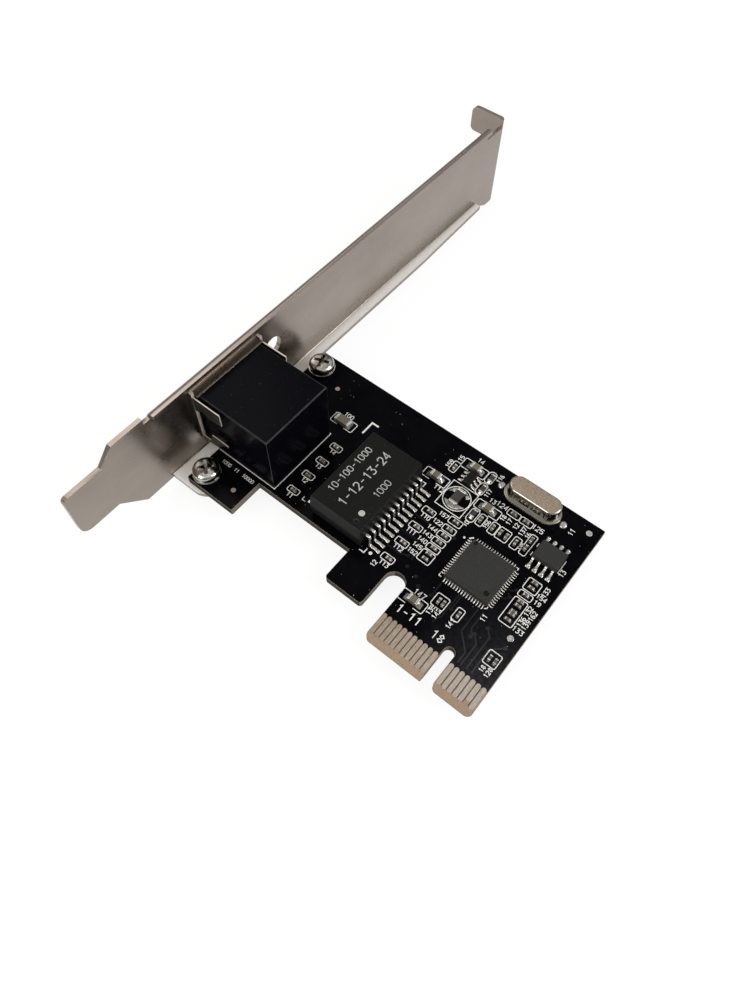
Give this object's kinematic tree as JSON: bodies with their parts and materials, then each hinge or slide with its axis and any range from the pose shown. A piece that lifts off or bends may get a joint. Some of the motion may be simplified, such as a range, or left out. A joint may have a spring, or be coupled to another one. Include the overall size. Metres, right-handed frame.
{
  "type": "network interface card",
  "caption": "Small expansion-bus network card with a black circuit board, one RJ45 socket, a network transformer, a flat controller chip, a crystal and a full-height steel mounting bracket.",
  "frame": {"origin": "on the component face of the board, in the middle of the bus connector's key notch, at the height where the bus contacts end", "axes": "+X from the bracket to the card's far end, +Y from the bus contacts to the top edge and the bracket's screw tab, +Z from the board to its components"},
  "size_m": [0.0737, 0.1198, 0.021],
  "materials": {
    "board_laminate": "satin",
    "bracket_steel": "satin",
    "screw_metal": "polished",
    "socket_plastic": "satin",
    "insert_plastic": "matte",
    "contact_gold": "satin",
    "bus_contact": "satin",
    "tinned_lead": "satin",
    "chip_compound": "matte",
    "crystal_metal": "satin",
    "capacitor_ceramic": "matte",
    "resistor_ceramic": "gloss"
  },
  "bodies": {
    "root": {"circuit_board": "board_laminate", "mounting_bracket": "bracket_steel", "bracket_screws": "screw_metal", "socket_housing": "socket_plastic", "socket_contact_block": "insert_plastic", "socket_contacts": "contact_gold", "socket_pins": "tinned_lead", "bus_contacts_component_side": "bus_contact", "bus_contacts_solder_side": "bus_contact", "transformer_body": "chip_compound", "transformer_leads": "tinned_lead", "controller_body": "chip_compound", "controller_leads": "tinned_lead", "memory_body": "chip_compound", "memory_leads": "tinned_lead", "crystal_can": "crystal_metal", "crystal_base": "insert_plastic", "crystal_leads": "tinned_lead", "regulator_body": "chip_compound", "regulator_leads": "tinned_lead", "small_capacitor_bodies": "capacitor_ceramic", "small_capacitor_terminals": "tinned_lead", "medium_capacitor_bodies": "capacitor_ceramic", "medium_capacitor_terminals": "tinned_lead", "resistor_bodies": "resistor_ceramic", "resistor_terminals": "tinned_lead", "bulk_capacitor_body": "capacitor_ceramic", "bulk_capacitor_terminals": "tinned_lead", "coil_body": "chip_compound", "coil_terminals": "tinned_lead", "solder_pads": "tinned_lead"}
  },
  "joints": []
}
